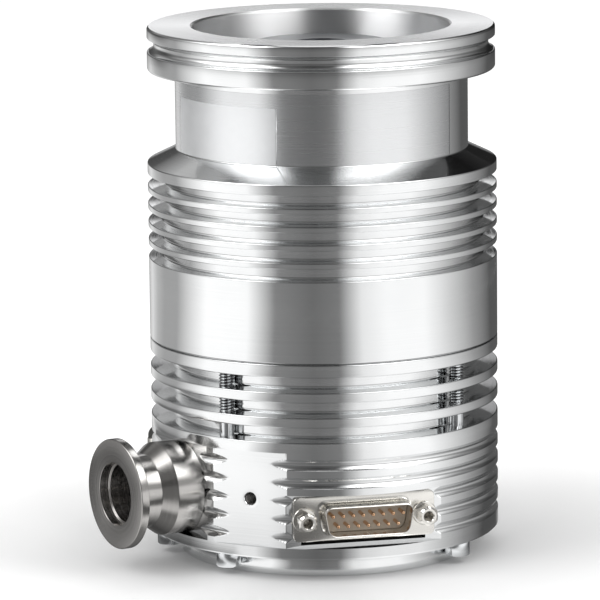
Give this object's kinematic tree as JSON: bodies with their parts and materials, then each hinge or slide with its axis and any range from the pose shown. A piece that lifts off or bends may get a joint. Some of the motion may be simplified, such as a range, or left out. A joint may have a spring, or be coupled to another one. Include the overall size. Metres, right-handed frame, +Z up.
{
  "type": "turbomolecular pump",
  "caption": "Turbomolecular vacuum pump: finned round housing, clamp-flange inlet over a bladed rotor, side foreline port, sub-D control socket.",
  "frame": {"origin": "centre of the base cover's underside, on the pump axis", "axes": "+Z up the pump axis towards the inlet, -Y out of the control connector, +X to its right seen from the front"},
  "size_m": [0.1157, 0.0976, 0.1451],
  "materials": {
    "aluminium_turned": "fine-turned, bright",
    "rotor_alloy": "milled, satin",
    "zinc_steel": "bright zinc plated",
    "stainless": "turned stainless",
    "seal_rubber": "moulded",
    "nickel": "nickel or tin plated",
    "insulator_resin": "moulded resin",
    "gold_contact": "gold-flashed copper alloy",
    "black_plastic": "moulded",
    "bearing_steel": "ground",
    "magnet": "sleeved magnet",
    "lamination": "stacked lamination",
    "copper_winding": "enamelled copper",
    "foil": "silver foil, blank"
  },
  "bodies": {
    "housing": {"inlet_housing": "aluminium_turned", "lower_housing": "aluminium_turned", "base_cover": "aluminium_turned", "base_seal": "seal_rubber", "housing_seal": "seal_rubber", "housing_screws": "zinc_steel", "earth_screw": "zinc_steel", "cover_screws": "zinc_steel", "stator_disc_1": "rotor_alloy", "stator_disc_2": "rotor_alloy", "spacer_ring_1": "rotor_alloy", "spacer_ring_2": "rotor_alloy", "spacer_ring_3": "rotor_alloy", "drag_stator": "rotor_alloy", "motor_core": "lamination", "motor_windings": "copper_winding", "lower_bearing_outer": "bearing_steel", "upper_bearing_outer": "bearing_steel", "lower_bearing_carrier": "rotor_alloy", "upper_bearing_carrier": "rotor_alloy", "foreline_port": "stainless", "foreline_seal": "seal_rubber", "vent_elbow": "nickel", "connector_shell": "nickel", "connector_insulator": "insulator_resin", "connector_pins": "gold_contact", "connector_jackscrews": "nickel", "nameplate": "foil"},
    "rotor": {"rotor": "rotor_alloy", "rotor_stage_1": "rotor_alloy", "rotor_stage_2": "rotor_alloy", "rotor_stage_3": "rotor_alloy", "rotor_shaft": "bearing_steel", "rotor_clamp_screw": "zinc_steel", "motor_magnet": "magnet", "lower_bearing_inner": "bearing_steel", "upper_bearing_inner": "bearing_steel"},
    "lower_rollers": {"lower_bearing_rollers": "bearing_steel"},
    "upper_rollers": {"upper_bearing_rollers": "bearing_steel"},
    "vent_cap": {"vent_cap": "black_plastic"}
  },
  "joints": [
    {"name": "rotor_spin", "type": "hinge", "parent": "housing", "child": "rotor", "pos_m": [0, 0, 0.06], "axis": [0, 0, 1], "continuous": true},
    {"name": "lower_roller_orbit", "type": "hinge", "parent": "housing", "child": "lower_rollers", "pos_m": [0, 0, 0.0165], "axis": [0, 0, 1], "continuous": true},
    {"name": "upper_roller_orbit", "type": "hinge", "parent": "housing", "child": "upper_rollers", "pos_m": [0, 0, 0.0595], "axis": [0, 0, 1], "continuous": true},
    {"name": "vent_cap_pull", "type": "slide", "parent": "housing", "child": "vent_cap", "axis": [0, 0, 1], "range_m": [0, 0.008]}
  ],
  "couplings": [
    {"joint": "lower_roller_orbit", "follows": "rotor_spin", "ratio": 0.3657},
    {"joint": "upper_roller_orbit", "follows": "rotor_spin", "ratio": 0.3657}
  ]
}
